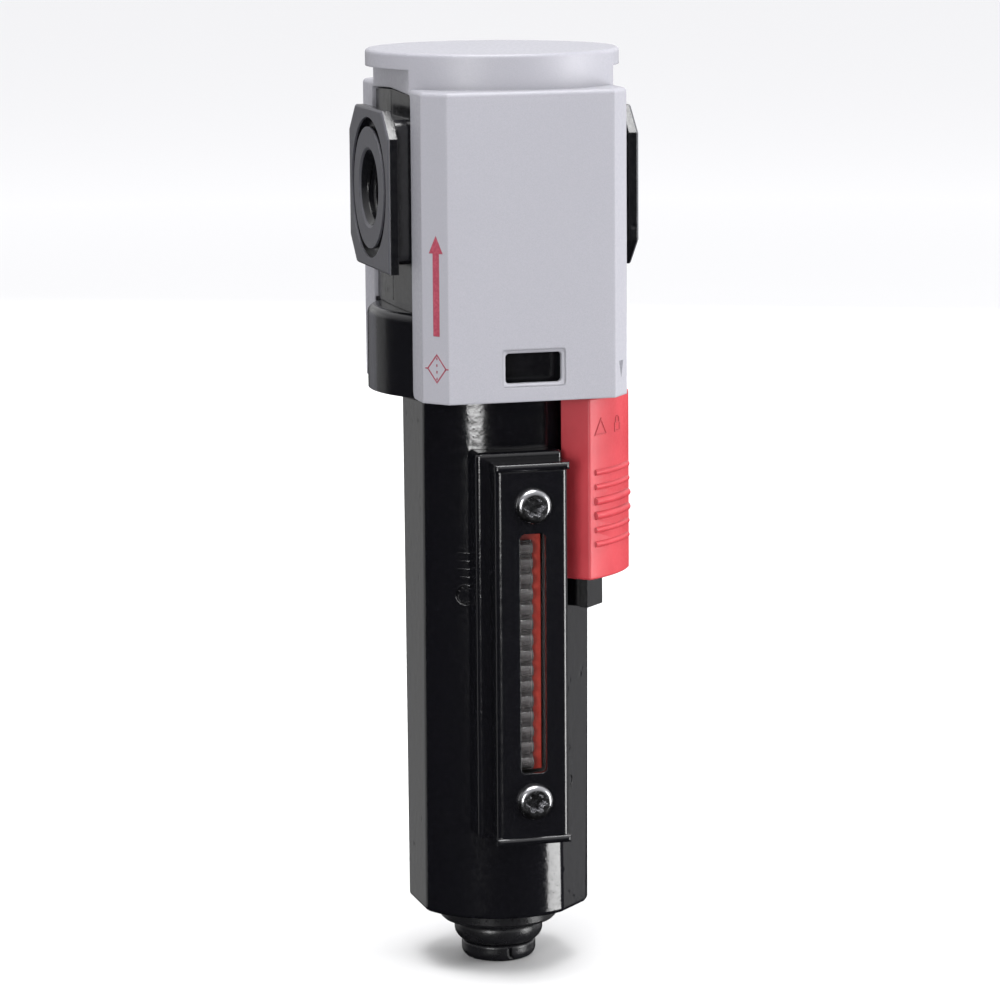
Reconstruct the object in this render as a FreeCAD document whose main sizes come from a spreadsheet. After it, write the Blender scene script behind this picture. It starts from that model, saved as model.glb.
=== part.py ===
"""Compressed air filter: ported head, plastic shroud, bayonet metal bowl, level glass and drain.

Origin: the middle of the pipe run, where the port axis crosses the bowl axis.
+Z is up, -X is the inlet, +X is the outlet and -Y is the front with the level glass.
Every length is in millimetres.
"""
import FreeCAD, Part
import os
import re
import Sketcher

DIMENSIONS = {
    # Pipe connections, G1/2
    "port_face": 36.5, "port_minor": 9.32, "port_bore": 8.0, "port_depth": 17.0,
    "sink_radius": 11.4, "sink_depth": 2.1, "ring_outer": 19.9, "ring_inner": 17.2, "ring_depth": 2.0,
    "flange_half": 22.6, "flange_corner": 7.4, "flange_thick": 2.9, "neck_half": 20.3,
    # Head casting
    "block_face": 29.3, "block_edge": 28.7, "block_half": 21.2, "block_foot": -33.9, "block_gap": 0.5,
    "parting_y": 1.2, "parting_half": 0.4, "parting_depth": 0.7,
    "core_radius": 27.0, "seat_level": 31.7, "collar_radius": 36.2, "collar_top": -34.0,
    "collar_foot": -57.6, "socket_radius": 27.7, "socket_roof": -37.5,
    "groove_radius": 33.4, "groove_top": -49.1, "groove_foot": -54.1,
    "post_radius": 12.5, "post_foot": -42.0, "post_bore": 7.0, "chamber_radius": 23.4,
    "chamber_roof": -12.0, "inlet_roof": 8.0,
    # Shroud and top cap
    "shroud_x": 29.7, "shroud_y": 39.7, "bevel_x": 5.6, "bevel_y": 7.0, "wall": 2.4,
    "shroud_foot": -57.4, "shroud_top": 28.8, "cap_radius": 36.0, "cap_foot": 34.1, "cap_top": 38.8,
    "opening_half": 21.75, "opening_top": 27.2, "opening_peak": 28.1,
    "window_wide": 18.2, "window_high": 10.4, "window_level": -48.0, "window_shift": 0.5,
    # Filter element
    "element_outer": 15.0, "element_inner": 10.5, "element_top": -44.4, "element_foot": -118.0,
    "pad_thick": 1.2, "stem_radius": 3.5, "stem_foot": -132.5, "baffle_radius": 17.5,
    # Bowl
    "bowl_top": -38.4, "bowl_radius": 27.1, "bowl_foot_radius": 26.2, "bowl_foot": -209.3,
    "neck_radius": 27.4, "neck_inner": 23.6, "throat": -57.0, "inner_radius": 21.3,
    "inner_foot_radius": 20.6, "floor_level": -204.0, "lug_radius": 32.6, "lug_top": -49.4,
    "lug_foot": -53.9, "seal_level": -44.0, "seal_centre": 26.6, "seal_thick": 1.0,
    "side_flat": 24.3, "latch_flat": 25.3, "facet_ease": 5.0, "foot_ease": 1.2,
    # Bayonet, degrees about the bowl axis
    "turn": 32.0, "lug_first": 14.0, "lug_wide": 30.0, "entry_wide": 34.0, "lugs": 3,
    # Level glass
    "boss_half": 14.2, "boss_face": -32.0, "boss_top": -72.5, "boss_foot": -183.5,
    "glass_half": 6.2, "glass_top": -93.0, "glass_foot": -165.6, "glass_face": -34.6, "pocket_floor": -25.0,
    "sight_half": 3.5, "gasket_thick": 1.0, "ridge_pitch": 4.4, "ridges": 15,
    "glass_rib_half": 1.9, "ridge_first": -97.4, "ridge_last": -163.4, "ridge_radius": 1.9, "strip_thick": 1.6,
    "cover_half": 10.5, "cover_face": -39.2, "cover_top": -77.2, "cover_foot": -182.0, "sheet_thick": 1.6,
    "lip_half": 10.9, "lip_face": -39.7, "lip_thick": 2.3, "slot_half": 3.8, "slot_top": -94.9, "slot_foot": -163.6,
    "upper_screw": -87.0, "lower_screw": -171.7, "head_radius": 5.1, "head_high": 2.4, "shank_radius": 2.0,
    # Slide latch and its rail, on the front right diagonal
    "diagonal": -45.0, "latch_radius": 39.2, "latch_back": 28.2, "latch_half": 11.9, "latch_top": -58.0,
    "latch_foot": -110.0, "rail_neck": 3.2, "rail_half": 4.5, "rail_lip": 30.0, "rail_face": 32.5,
    "rail_top": -66.4, "rail_foot": -119.5, "tongue_back": 31.2, "tongue_face": 33.6, "tongue_half": 3.5,
    "tongue_top": -53.5, "slide_gap": 0.3, "grips": 6, "grip_first": -79.4, "grip_pitch": 4.1,
    # Drain
    "drain_flange": 17.0, "drain_flange_foot": -214.5, "spigot_radius": 10.3, "hub_radius": 9.4,
    "hub_foot": -218.6, "spring_bore": 7.0, "valve_seat": -199.0, "seat_hole": 4.5, "spring_roof": -203.2,
    "knob_radius": 12.9, "knob_top": -214.9, "knob_foot": -221.5, "hub_gap": 0.06,
    "clip_level": -216.7, "drain_seal_ring": 13.2, "valve_collar": -216.5, "spout_neck": 7.5,
    "spout_radius": 10.8, "spout_foot": -226.4, "spout_bore": 4.28, "valve_rod": 2.6,
}

document = FreeCAD.newDocument("air_filter")
sheet = document.addObject("Spreadsheet::Sheet", "dims")
for row, (alias, size) in enumerate(DIMENSIONS.items(), start=1):
    sheet.set(f"A{row}", alias)
    sheet.set(f"B{row}", str(size))
    sheet.setAlias(f"B{row}", alias)
document.recompute()

subparts = []
X_AXIS = FreeCAD.Vector(1, 0, 0)
Y_AXIS = FreeCAD.Vector(0, 1, 0)
Z_AXIS = FreeCAD.Vector(0, 0, 1)
UPRIGHT = FreeCAD.Rotation()
ALONG_X = FreeCAD.Rotation(Y_AXIS, 90)
ALONG_FRONT = FreeCAD.Rotation(X_AXIS, 90)


def formula(text):
    """Turn 'port_face - wall' into an expression on the sheet's cells."""
    def cell(word):
        return "dims." + word.group() if word.group() in DIMENSIONS else word.group()
    return re.sub(r"[a-z]\w+", cell, str(text))


def size_of(text):
    """The number that a formula gives, for sizes that no expression can drive."""
    value = sheet.evalExpression(formula(text))
    return float(getattr(value, "Value", value))


def bind(item, sizes):
    for name, text in sizes.items():
        item.setExpression(name, formula(text))
    return item


def locate(item, at, turned):
    item.Placement = FreeCAD.Placement(FreeCAD.Vector(), turned)
    for axis, text in zip("xyz", at):
        item.setExpression(f"Placement.Base.{axis}", formula(text))
    return item


def primitive(kind, label, sizes, at, turned=UPRIGHT):
    item = document.addObject(kind, label)
    item.Label = label
    bind(item, sizes)
    return locate(item, at, turned)


def cylinder(label, radius, low, high, centre=("0", "0"), sweep="360", start=0.0):
    """An upright cylinder between two levels, or a sector of one."""
    sizes = {"Radius": radius, "Height": f"({high}) - ({low})", "Angle": sweep}
    return primitive("Part::Cylinder", label, sizes, (*centre, low), FreeCAD.Rotation(Z_AXIS, start))


def rod(label, radius, length, at, turned):
    """A cylinder that lies along X or points to the front."""
    return primitive("Part::Cylinder", label, {"Radius": radius, "Height": length}, at, turned)


def cone(label, low_radius, high_radius, low, high):
    sizes = {"Radius1": low_radius, "Radius2": high_radius, "Height": f"({high}) - ({low})"}
    return primitive("Part::Cone", label, sizes, ("0", "0", low))


def block(label, low, high):
    """A box given by two opposite corners."""
    names = ("Length", "Width", "Height")
    sizes = {name: f"({b}) - ({a})" for name, a, b in zip(names, low, high)}
    return primitive("Part::Box", label, sizes, low)


def diagonal_block(label, low, high):
    """A box given in the latch's own frame, whose X points out along the diagonal."""
    x, y, level = low
    at = (f"({x}) * cos(diagonal) - ({y}) * sin(diagonal)", f"({x}) * sin(diagonal) + ({y}) * cos(diagonal)", level)
    names = ("Length", "Width", "Height")
    sizes = {name: f"({b}) - ({a})" for name, a, b in zip(names, low, high)}
    return primitive("Part::Box", label, sizes, at, FreeCAD.Rotation(Z_AXIS, sheet.diagonal))


def torus(label, ring, thick, level):
    return primitive("Part::Torus", label, {"Radius1": ring, "Radius2": thick}, ("0", "0", level))


def joined(label, pieces):
    item = document.addObject("Part::MultiFuse", label)
    item.Label = label
    item.Shapes = pieces
    item.Refine = True
    return item


def shared(label, pieces):
    item = document.addObject("Part::MultiCommon", label)
    item.Label = label
    item.Shapes = pieces
    return item


def chained(kind, label, base, tools):
    """Apply one boolean after another; the last one carries the label."""
    for number, tool in enumerate(tools, start=1):
        name = label if number == len(tools) else f"{label}_step_{number}"
        item = document.addObject(kind, name)
        item.Label = name
        item.Base = base
        item.Tool = tool
        base = item
    return base


def cut(label, base, tools):
    return chained("Part::Cut", label, base, tools)


def eased(label, base, radius, chosen, kind="Part::Fillet"):
    """Round or chamfer the edges of base for which chosen(edge) is true."""
    document.recompute()
    reach = size_of(radius)
    numbers = [n for n, edge in enumerate(base.Shape.Edges, start=1) if chosen(edge)]
    item = document.addObject(kind, label)
    item.Label = label
    item.Base = base
    item.Edges = [(n, reach, reach) for n in numbers]
    return item


def outline_sketch(body, name, plane, points):
    """A closed outline of straight lines whose corners are bound to the sheet."""
    sketch = body.newObject("Sketcher::SketchObject", name)
    origin_planes = {item.Role: item for item in body.Origin.OriginFeatures}
    sketch.AttachmentSupport = [(origin_planes[plane], "")]
    sketch.MapMode = "FlatFace"
    spots = [(size_of(a), size_of(b)) for a, b in points]
    count = len(points)
    for index in range(count):
        start, end = spots[index], spots[(index + 1) % count]
        sketch.addGeometry(Part.LineSegment(FreeCAD.Vector(*start, 0), FreeCAD.Vector(*end, 0)), False)
    for index in range(count):
        sketch.addConstraint(Sketcher.Constraint("Coincident", index, 2, (index + 1) % count, 1))
    for index, (across, up) in enumerate(points):
        for kind, text, value in (("DistanceX", across, spots[index][0]), ("DistanceY", up, spots[index][1])):
            if abs(value) < 1e-9:
                axis = -2 if kind == "DistanceX" else -1
                sketch.addConstraint(Sketcher.Constraint("PointOnObject", index, 1, axis))
                continue
            number = sketch.addConstraint(Sketcher.Constraint(kind, -1, 1, index, 1, value))
            sketch.setExpression(f"Constraints[{number}]", formula(text))
    return sketch


def turned_body(label, points):
    """A PartDesign body made by turning an (radius, level) outline about the bowl axis."""
    body = document.addObject("PartDesign::Body", label)
    body.Label = label
    sketch = outline_sketch(body, label + "_outline", "XZ_Plane", points)
    turning = body.newObject("PartDesign::Revolution", label + "_turning")
    turning.Profile = sketch
    turning.ReferenceAxis = (sketch, ["V_Axis"])
    turning.Angle = 360
    return body


def padded_body(label, plane, points, length, at=("0", "0", "0"), turned=UPRIGHT):
    """A PartDesign body made by padding an outline drawn on one origin plane."""
    body = document.addObject("PartDesign::Body", label)
    body.Label = label
    sketch = outline_sketch(body, label + "_outline", plane, points)
    pad = body.newObject("PartDesign::Pad", label + "_pad")
    pad.Profile = sketch
    pad.setExpression("Length", formula(length))
    return locate(body, at, turned)


def subpart(item):
    """Mark an object as a piece of the filter that is written to its own file."""
    subparts.append(item)
    return item


def is_circle(edge, radius=None):
    round_edge = isinstance(edge.Curve, Part.Circle)
    return round_edge and (radius is None or abs(edge.Curve.Radius - radius) < 0.05)


def is_on_lip_face(edge):
    return edge.CenterOfMass.y < size_of("lip_face") + 0.01


def is_open_facet_edge(edge):
    """Long edges of the bowl's flats, but for the two that nearly meet beside the latch."""
    centre = edge.CenterOfMass
    beside_latch = centre.x > 20 and centre.y < 0
    return edge.BoundBox.ZLength > 100 and not beside_latch


def is_upright(edge):
    low, high = edge.BoundBox.ZMin, edge.BoundBox.ZMax
    return high - low > 0.98 * edge.Length


# ---------------------------------------------------------------- head casting
def flange_outline(square_front_foot):
    """Port flange seen along X: a square with cut corners, one of them left square if asked."""
    half, short = "flange_half", "flange_half - flange_corner"
    low_front = [(f"-({half})", f"-({half})")]
    if not square_front_foot:
        low_front = [(f"-({half})", f"-({short})"), (f"-({short})", f"-({half})")]
    return low_front + [(short, f"-({half})"), (half, f"-({short})"), (half, short), (short, half),
                        (f"-({short})", half), (f"-({half})", short)]


def port_block():
    """The cast block that carries both port necks and fills the shroud's side openings."""
    plan = padded_body("block_plan", "XY_Plane", [
        ("block_edge", "-block_half"), ("block_face", "0"), ("block_edge", "block_half"),
        ("-block_edge", "block_half"), ("-block_face", "0"), ("-block_edge", "-block_half")],
        "opening_peak - block_foot", ("0", "0", "block_foot"))
    side = padded_body("block_side", "YZ_Plane", [
        ("-block_half", "block_foot"), ("block_half", "block_foot"), ("block_half", "opening_top - block_gap"),
        ("0", "opening_peak - block_gap"), ("-block_half", "opening_top - block_gap")],
        "2 * port_face", ("-port_face", "0", "0"))
    return eased("port_block", shared("port_block_blank", [plan, side]), "1.2", lambda edge: edge.BoundBox.XLength > 40)


def build_head():
    inlet_flange = padded_body("inlet_flange", "YZ_Plane", flange_outline(True), "flange_thick",
                               ("-port_face", "0", "0"))
    outlet_flange = padded_body("outlet_flange", "YZ_Plane", flange_outline(False), "flange_thick",
                                ("port_face - flange_thick", "0", "0"))
    inlet_eased = eased("inlet_flange_eased", inlet_flange, "0.5",
                        lambda edge: abs(edge.CenterOfMass.x + size_of("port_face")) < 0.01, "Part::Chamfer")
    outlet_eased = eased("outlet_flange_eased", outlet_flange, "0.5",
                         lambda edge: abs(edge.CenterOfMass.x - size_of("port_face")) < 0.01, "Part::Chamfer")
    neck = block("port_neck", ("-port_face + flange_thick", "-neck_half", "-neck_half"),
                 ("port_face - flange_thick", "neck_half", "neck_half"))
    neck_eased = eased("port_neck_eased", neck, "3", lambda edge: edge.BoundBox.XLength > 1)
    core = cylinder("head_core", "core_radius", "collar_top - 1", "seat_level")
    collar = cylinder("head_collar", "collar_radius", "collar_foot", "collar_top")
    collar_eased = eased("head_collar_eased", collar, "2.5",
                         lambda edge: is_circle(edge) and edge.CenterOfMass.z > size_of("collar_top") - 0.01)
    casting = joined("head_casting", [inlet_eased, outlet_eased, neck_eased, core, collar_eased, port_block()])

    tools = []
    for side, sign, turned, reach in (("inlet", "-", ALONG_X, "port_face - 17"),
                                      ("outlet", "", FreeCAD.Rotation(Y_AXIS, -90), "port_face - 3")):
        face = f"{sign}port_face"
        tools.append(rod(f"{side}_thread", "port_minor", "port_depth", (face, "0", "0"), turned))
        tools.append(rod(f"{side}_bore", "port_bore", reach, (face, "0", "0"), turned))
        sink = {"Radius1": "sink_radius", "Radius2": "port_minor", "Height": "sink_depth"}
        tools.append(primitive("Part::Cone", f"{side}_sink", sink, (face, "0", "0"), turned))
        ring = rod(f"{side}_ring", "ring_outer", "ring_depth", (face, "0", "0"), turned)
        land = rod(f"{side}_land", "ring_inner", "ring_depth", (face, "0", "0"), turned)
        tools.append(cut(f"{side}_ring_groove", ring, [land]))
    tools.append(turned_body("head_hollow", [
        ("0", "collar_foot"), ("socket_radius", "collar_foot"), ("socket_radius", "groove_foot"),
        ("groove_radius", "groove_foot"), ("groove_radius", "groove_top"), ("socket_radius", "groove_top"),
        ("socket_radius", "socket_roof"), ("chamber_radius", "socket_roof"), ("chamber_radius", "chamber_roof"),
        ("post_radius", "chamber_roof"), ("post_radius", "post_foot"), ("post_bore", "post_foot"),
        ("post_bore", "0"), ("0", "0")]))
    drop = cylinder("inlet_drop_outer", "chamber_radius - 0.5", "chamber_roof - 1", "inlet_roof",
                    sweep="150", start=105.0)
    drop_post = cylinder("inlet_drop_inner", "post_radius + 0.5", "chamber_roof - 1", "inlet_roof")
    tools.append(cut("inlet_drop", drop, [drop_post]))
    for index in range(int(sheet.lugs)):
        start = size_of(f"lug_first + turn - entry_wide / 2 + 360 / lugs * {index}")
        tools.append(cylinder(f"lug_entry_{index + 1}", "groove_radius - 0.2", "collar_foot - 1", "groove_foot + 1",
                              sweep="entry_wide", start=start))
    slot = cylinder("tongue_slot_outer", "tongue_face + 0.6", "collar_foot - 1", "tongue_top + 0.4",
                    sweep="turn + 15", start=size_of("diagonal - 7.5"))
    slot_core = cylinder("tongue_slot_inner", "tongue_back - 0.6", "collar_foot - 1", "tongue_top + 0.4")
    tools.append(cut("tongue_slot", slot, [slot_core]))
    for side, low, high in (("inlet", "-block_face - 0.1", "-block_face + parting_depth"),
                            ("outlet", "block_face - parting_depth", "block_face + 0.1")):
        for part, foot, top in (("upper", "neck_half", "opening_peak"), ("lower", "block_foot + 1.5", "-neck_half")):
            tools.append(block(f"parting_{side}_{part}", (low, "parting_y - parting_half", foot),
                               (high, "parting_y + parting_half", top)))
    tools.append(block("window_flat", ("-13", "-collar_radius", "window_level - 8"),
                       ("13", "-collar_radius + 2.4", "window_level + 8")))
    subpart(cut("head_body", casting, tools))


def shroud_prism(label, inset, low, high):
    """The shroud's eight-sided column, moved in by inset."""
    side, front = f"shroud_x - {inset}", f"shroud_y - {inset}"
    near, far = f"shroud_x - bevel_x - 0.4 * {inset}", f"shroud_y - bevel_y - 0.5 * {inset}"
    corners = [(near, f"-({front})"), (side, f"-({far})"), (side, far), (near, front),
               (f"-({near})", front), (f"-({side})", far), (f"-({side})", f"-({far})"),
               (f"-({near})", f"-({front})")]
    return padded_body(label, "XY_Plane", corners, f"({high}) - ({low})", ("0", "0", low))


def neck_slab(label, radius, half, low, high):
    """The round top of the shroud, cut flat on the two port sides."""
    column = cylinder(label + "_column", radius, low, high)
    slab = block(label + "_slab", (f"-({half})", "-40", low), (half, "40", high))
    return shared(label, [column, slab])


def build_shroud():
    column = shroud_prism("shroud_column", "0", "shroud_foot", "shroud_top")
    top_level = size_of("shroud_top")
    column_eased = eased("shroud_column_eased", column, "1.2",
                         lambda edge: edge.BoundBox.ZMin > top_level - 0.01)
    neck = neck_slab("shroud_neck", "cap_radius", "shroud_x", "shroud_top - 3", "cap_foot")
    cap = eased("shroud_cap", cylinder("shroud_cap_blank", "cap_radius", "cap_foot", "cap_top"), "1",
                lambda edge: is_circle(edge) and edge.CenterOfMass.z > size_of("cap_top") - 0.01)
    outer = joined("shroud_outer", [column_eased, neck, cap])
    hollow = shroud_prism("shroud_hollow", "wall", "shroud_foot", "shroud_top - wall")
    neck_hollow = neck_slab("shroud_neck_hollow", "cap_radius - wall", "shroud_x - wall",
                            "shroud_top - wall - 1", "cap_top - wall")
    opening = padded_body("port_opening", "YZ_Plane", [
        ("-opening_half", "shroud_foot"), ("opening_half", "shroud_foot"), ("opening_half", "opening_top"),
        ("0", "opening_peak"), ("-opening_half", "opening_top")], "2 * shroud_y", ("-shroud_y", "0", "0"))
    opening_eased = eased("port_opening_eased", opening, "1.5",
                          lambda edge: edge.BoundBox.XLength > 1 and edge.CenterOfMass.z > 0)
    window = block("window", ("window_shift - window_wide / 2", "-shroud_y", "window_level - window_high / 2"),
                   ("window_shift + window_wide / 2", "-shroud_y + wall + 1", "window_level + window_high / 2"))
    window_eased = eased("window_eased", window, "0.9", lambda edge: edge.BoundBox.YLength > 1)
    shell = cut("shroud_shell", outer, [hollow, neck_hollow, opening_eased, window_eased])
    foot = size_of("shroud_foot")
    corner = size_of("opening_half")
    rounded = eased("shroud_rounded", shell, "2.2",
                    lambda edge: abs(abs(edge.CenterOfMass.y) - corner) < 0.01
                    and abs(edge.CenterOfMass.z - foot) < 0.01 and edge.BoundBox.XLength > 1)
    collar_room = cylinder("shroud_collar_room", "collar_radius + 0.3", "shroud_foot - 1", "collar_top + 0.5")
    subpart(cut("shroud", rounded, [collar_room]))


# ---------------------------------------------------------------- filter element
def build_element():
    hub = cut("vane_hub", cylinder("vane_hub_outer", "post_radius + 2", "post_foot - pad_thick", "-38"),
              [cylinder("vane_hub_bore", "post_radius + 0.1", "post_foot", "-38"),
               cylinder("vane_hub_hole", "post_bore + 0.2", "post_foot - pad_thick", "post_foot")])
    rim = cut("vane_rim", cylinder("vane_rim_outer", "chamber_radius - 0.3", "-44", "-38.2"),
              [cylinder("vane_rim_inner", "chamber_radius - 1.5", "-44", "-38.2")])
    blade_count = 12
    blades = []
    for index in range(blade_count):
        tilt = FreeCAD.Rotation(X_AXIS, 35)
        spin = FreeCAD.Rotation(Z_AXIS, 360 / blade_count * index)
        blade = document.addObject("Part::Box", f"vane_blade_{index + 1}")
        bind(blade, {"Length": "chamber_radius - post_radius - 3", "Width": "1", "Height": "6.2"})
        shift = FreeCAD.Vector(size_of("post_radius + 1.95"), 0, -43.8)
        blade.Placement = FreeCAD.Placement(spin.multVec(shift), spin.multiply(tilt))
        blades.append(blade)
    subpart(chained("Part::Fuse", "swirl_vane", hub, [rim, *blades]))

    for label, level in (("upper_gasket", "element_top + pad_thick"), ("lower_gasket", "element_foot")):
        subpart(cut(label, cylinder(label + "_disc", "element_outer - 0.8", f"{level} - pad_thick", level),
                    [cylinder(label + "_hole", "7.4", f"{level} - pad_thick", level)]))
    subpart(turned_body("filter_element", [
        ("element_inner", "element_foot"), ("element_outer", "element_foot"),
        ("element_outer", "element_top"), ("element_inner", "element_top")]))

    tube = cylinder("post_tube", "post_bore - 0.05", "element_top - 8", "-26")
    rod_part = cylinder("post_rod", "stem_radius", "stem_foot", "element_top - 7.9")
    passage = cylinder("post_passage", "5", "element_top - 7", "-26")
    gates = [rod(f"post_gate_{n}", "2.2", "20", at, turned) for n, (at, turned) in enumerate(
        ((("-10", "0", "element_top - 4"), ALONG_X), (("0", "10", "element_top - 4"), ALONG_FRONT)), start=1)]
    subpart(cut("element_post", joined("element_post_blank", [tube, rod_part]), [passage, *gates]))

    top = "element_foot - pad_thick"
    subpart(turned_body("baffle", [
        ("stem_radius", f"{top} - 3"), ("9", f"{top} - 3"), ("11", f"{top} - 5.5"),
        ("baffle_radius - 1.2", f"{top} - 9"), ("baffle_radius - 1.2", f"{top} - 12"),
        ("baffle_radius", f"{top} - 12"), ("baffle_radius", f"{top} - 8"), ("13", top), ("stem_radius", top)]))
    nut = document.addObject("Part::Prism", "element_nut_hexagon")
    nut.Polygon = 6
    bind(nut, {"Circumradius": "7", "Height": "5"})
    locate(nut, ("0", "0", f"{top} - 8"), UPRIGHT)
    subpart(cut("element_nut", nut, [cylinder("element_nut_hole", "stem_radius", f"{top} - 8", f"{top} - 3")]))


# ---------------------------------------------------------------- bowl
def build_bowl():
    tube = cone("bowl_tube", "bowl_foot_radius", "bowl_radius", "bowl_foot", "throat")
    reach = "bowl_radius + 20"
    flats = [block(f"bowl_flat_{side}", (low, "-20", "bowl_foot"), (high, "20", "throat - 3"))
             for side, low, high in (("inlet", f"-({reach})", "-side_flat"), ("outlet", "side_flat", reach))]
    flats.append(diagonal_block("bowl_flat_latch", ("latch_flat", "-12", "bowl_foot"), (reach, "12", "throat - 3")))
    shaped = cut("bowl_shaped", tube, flats)
    softened = eased("bowl_softened", shaped, "facet_ease", is_open_facet_edge)
    rounded = eased("bowl_rounded", softened, "foot_ease", lambda edge: edge.BoundBox.ZMax < size_of("bowl_foot") + 0.01)

    neck = cylinder("bowl_neck", "neck_radius", "throat", "bowl_top")
    lugs = [cylinder(f"bowl_lug_{index + 1}", "lug_radius", "lug_foot", "lug_top", sweep="lug_wide",
                     start=size_of(f"lug_first - lug_wide / 2 + 360 / lugs * {index}"))
            for index in range(int(sheet.lugs))]
    boss = block("glass_boss", ("-boss_half", "boss_face", "boss_foot"), ("lip_half", "-18", "boss_top"))
    boss_eased = eased("glass_boss_eased", boss, "1.4", lambda edge: edge.CenterOfMass.y < -size_of("20"))
    rail_web = diagonal_block("rail_web", ("latch_flat - 2", "-rail_neck", "rail_foot"),
                              ("rail_lip + 1", "rail_neck", "rail_top"))
    rail_head = diagonal_block("rail_head", ("rail_lip", "-rail_half", "rail_foot"),
                               ("rail_face", "rail_half", "rail_top"))
    blank = joined("bowl_blank", [rounded, neck, *lugs, boss_eased, rail_web, rail_head])

    inside = [cylinder("bowl_inside_neck", "neck_inner", "throat", "bowl_top"),
              cone("bowl_inside_throat", "inner_radius", "neck_inner", "throat - 4", "throat"),
              cone("bowl_inside", "inner_foot_radius", "inner_radius", "floor_level", "throat - 4")]
    drain_hole = cylinder("bowl_drain_hole", "spigot_radius", "bowl_foot", "floor_level")
    seal_ring = cut("bowl_seal_groove", cylinder("seal_groove_outer", "neck_radius + 1",
                                                 "seal_level - 1.3", "seal_level + 1.3"),
                    [cylinder("seal_groove_inner", "seal_centre - seal_thick", "seal_level - 1.3",
                              "seal_level + 1.3")])
    pocket = block("glass_pocket", ("-glass_half", "boss_face", "glass_foot"),
                   ("glass_half", "pocket_floor", "glass_top"))
    sight = block("glass_sight", ("-sight_half", "pocket_floor", "glass_foot + 6"),
                  ("sight_half", "-10", "glass_top - 6"))
    screw_holes = [rod(f"cover_hole_{name}", "shank_radius", "8", ("0", "boss_face + 8", level), ALONG_FRONT)
                   for name, level in (("upper", "upper_screw"), ("lower", "lower_screw"))]
    subpart(cut("bowl", blank, [*inside, drain_hole, seal_ring, pocket, sight, *screw_holes]))
    subpart(torus("bowl_seal", "seal_centre", "seal_thick", "seal_level"))


# ---------------------------------------------------------------- level glass
def build_level_glass():
    gasket = block("gasket_blank", ("-glass_half", "pocket_floor - gasket_thick", "glass_foot"),
                   ("glass_half", "pocket_floor", "glass_top"))
    opening = block("gasket_opening", ("-sight_half", "pocket_floor - gasket_thick", "glass_foot + 6"),
                    ("sight_half", "pocket_floor", "glass_top - 6"))
    subpart(cut("glass_gasket", gasket, [opening]))

    slab = block("glass_slab", ("-glass_half", "boss_face", "glass_foot"),
                 ("glass_half", "pocket_floor - gasket_thick", "glass_top"))
    rib = block("glass_rib", ("-glass_rib_half - 1", "glass_face", "ridge_last"),
                ("glass_rib_half - 1", "boss_face + 1", "ridge_first"))
    ridges = []
    for index in range(int(sheet.ridges)):
        at = ("-glass_rib_half - 1", "glass_face + 0.6", f"ridge_first - ridge_pitch * ({index} + 0.5)")
        ridges.append(rod(f"glass_ridge_{index + 1}", "ridge_radius", "2 * glass_rib_half", at, ALONG_X))
    subpart(joined("level_glass", [slab, rib, *ridges]))

    frame = block("strip_blank", ("-slot_half + 0.1", "boss_face - strip_thick", "slot_foot + 0.1"),
                  ("slot_half - 0.1", "boss_face", "slot_top - 0.1"))
    window = block("strip_window", ("-glass_rib_half - 1", "boss_face - strip_thick", "ridge_last"),
                   ("glass_rib_half - 1", "boss_face", "ridge_first"))
    subpart(cut("level_strip", frame, [window]))

    outer = block("cover_outer", ("-cover_half", "cover_face", "cover_foot"), ("cover_half", "boss_face", "cover_top"))
    outer_eased = eased("cover_outer_eased", outer, "2",
                        lambda edge: is_upright(edge) and edge.CenterOfMass.y < size_of("cover_face") + 0.01)
    lips = []
    for name, low in (("top", "cover_top"), ("foot", "cover_foot - lip_thick")):
        lip = block(f"cover_lip_{name}", ("-lip_half", "lip_face", low), ("lip_half", "boss_face", f"{low} + lip_thick"))
        lips.append(eased(f"cover_lip_{name}_eased", lip, "1.1", is_on_lip_face))
    hollow = block("cover_hollow", ("-cover_half + sheet_thick", "cover_face + sheet_thick", "cover_foot"),
                   ("cover_half - sheet_thick", "boss_face", "cover_top"))
    slot = block("cover_slot", ("-slot_half", "cover_face - 1", "slot_foot"),
                 ("slot_half", "cover_face + sheet_thick", "slot_top"))
    slot_eased = eased("cover_slot_eased", slot, "1.5", lambda edge: edge.BoundBox.YLength > 1)
    levels = (("upper", "upper_screw"), ("lower", "lower_screw"))
    holes = [rod(f"cover_screw_hole_{name}", "shank_radius + 0.3", "3", ("0", "cover_face + 2.5", level), ALONG_FRONT)
             for name, level in levels]
    subpart(cut("level_cover", joined("cover_blank", [outer_eased, *lips]), [hollow, slot_eased, *holes]))

    screws = []
    for name, level in levels:
        head = rod(f"cover_head_{name}", "head_radius", "head_high", ("0", "cover_face", level), ALONG_FRONT)
        head_eased = eased(f"cover_head_{name}_eased", head, "1.7",
                           lambda edge: is_circle(edge) and edge.CenterOfMass.y < size_of("cover_face - 1"))
        shank = rod(f"cover_shank_{name}", "shank_radius", "-cover_face + boss_face + 7",
                    ("0", "boss_face + 7", level), ALONG_FRONT)
        blank = joined(f"cover_screw_blank_{name}", [head_eased, shank])
        screws.append(cut(f"cover_screw_{name}", blank, [star_recess(name, level)]))
    group("cover_screws", screws)


def star_recess(name, level):
    """A six-lobed driver recess in a cover screw."""
    depth = "1.7"
    at = ("0", "cover_face - head_high + " + depth, level)
    core = rod(f"recess_core_{name}", "2.2", depth, at, ALONG_FRONT)
    lobes = []
    for index in range(6):
        lobe_at = (f"2.2 * cos({60 * index})", at[1], f"{level} + 2.2 * sin({60 * index})")
        lobes.append(rod(f"recess_lobe_{name}_{index + 1}", "0.75", depth, lobe_at, ALONG_FRONT))
    return joined(f"recess_{name}", [core, *lobes])


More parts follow.
